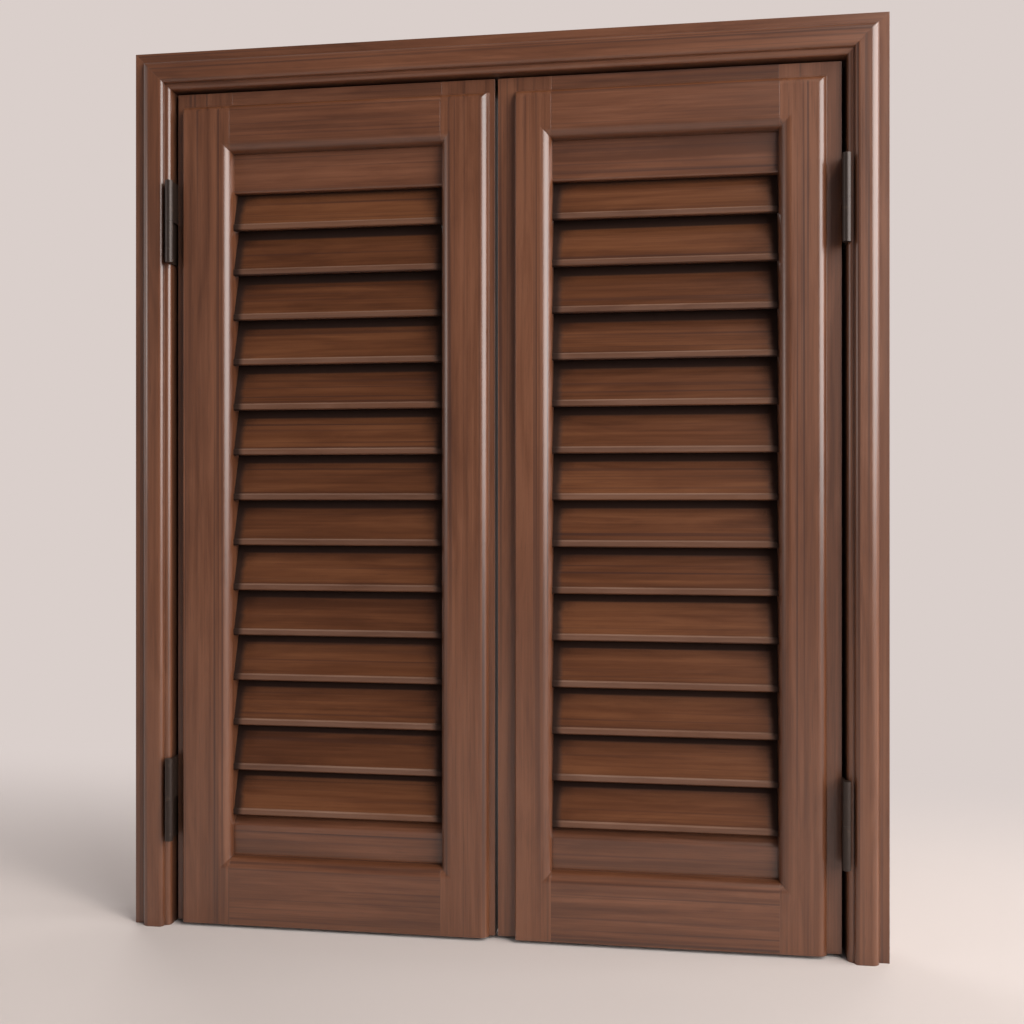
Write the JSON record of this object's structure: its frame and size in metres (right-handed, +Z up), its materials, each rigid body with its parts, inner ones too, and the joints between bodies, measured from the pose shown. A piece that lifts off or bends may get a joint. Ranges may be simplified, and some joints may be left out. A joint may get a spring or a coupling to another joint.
{
  "type": "louvred window shutters",
  "caption": "Louvred window shutters hung on lift-off hinges in a moulded timber frame, with fixed sloping slats and shoot bolts on the back.",
  "frame": {"origin": "middle of the frame's foot, at the middle of the whole depth", "axes": "+X to the right seen from outside, +Y into the wall, +Z up"},
  "size_m": [1.09, 0.096, 1.3],
  "materials": {
    "upright_wood": "satin walnut stain, upright grain",
    "level_wood": "satin walnut stain, level grain",
    "slat_wood": "satin walnut stain, level grain, a little warmer",
    "hinge_metal": "dark bronze lacquer",
    "pin_steel": "bright steel",
    "bolt_metal": "dark bronze lacquer"
  },
  "bodies": {
    "frame": {"frame_head": "level_wood", "hinge_pins": "pin_steel", "frame_jamb_left": "upright_wood", "left_hinge_frame_halves": "hinge_metal", "frame_jamb_right": "upright_wood", "right_hinge_frame_halves": "hinge_metal"},
    "left_leaf": {"left_hinge_stile": "upright_wood", "left_meeting_stile": "upright_wood", "left_top_rail": "level_wood", "left_bottom_rail": "level_wood", "left_top_board": "level_wood", "left_bottom_board": "level_wood", "left_slat_01": "slat_wood", "left_slat_02": "slat_wood", "left_slat_03": "slat_wood", "left_slat_04": "slat_wood", "left_slat_05": "slat_wood", "left_slat_06": "slat_wood", "left_slat_07": "slat_wood", "left_slat_08": "slat_wood", "left_slat_09": "slat_wood", "left_slat_10": "slat_wood", "left_slat_11": "slat_wood", "left_slat_12": "slat_wood", "left_slat_13": "slat_wood", "left_slat_14": "slat_wood", "left_hinge_leaf_halves": "hinge_metal", "left_bolt_guides": "bolt_metal"},
    "left_bolt_bar": {"left_bolt": "bolt_metal"},
    "right_leaf": {"right_hinge_stile": "upright_wood", "right_meeting_stile": "upright_wood", "right_top_rail": "level_wood", "right_bottom_rail": "level_wood", "right_top_board": "level_wood", "right_bottom_board": "level_wood", "right_slat_01": "slat_wood", "right_slat_02": "slat_wood", "right_slat_03": "slat_wood", "right_slat_04": "slat_wood", "right_slat_05": "slat_wood", "right_slat_06": "slat_wood", "right_slat_07": "slat_wood", "right_slat_08": "slat_wood", "right_slat_09": "slat_wood", "right_slat_10": "slat_wood", "right_slat_11": "slat_wood", "right_slat_12": "slat_wood", "right_slat_13": "slat_wood", "right_slat_14": "slat_wood", "right_hinge_leaf_halves": "hinge_metal", "right_bolt_guides": "bolt_metal"},
    "right_bolt_bar": {"right_bolt": "bolt_metal"}
  },
  "joints": [
    {"name": "left_leaf_hinge", "type": "hinge", "parent": "frame", "child": "left_leaf", "pos_m": [-0.486, -0.042, 0.6175], "axis": [0, 0, -1], "range_deg": [0, 170]},
    {"name": "left_bolt_slide", "type": "slide", "parent": "left_leaf", "child": "left_bolt_bar", "axis": [0, 0, 1], "range_m": [0, 0.024]},
    {"name": "right_leaf_hinge", "type": "hinge", "parent": "frame", "child": "right_leaf", "pos_m": [0.486, -0.042, 0.6175], "axis": [0, 0, 1], "range_deg": [0, 170]},
    {"name": "right_bolt_slide", "type": "slide", "parent": "right_leaf", "child": "right_bolt_bar", "axis": [0, 0, 1], "range_m": [0, 0.024]}
  ]
}
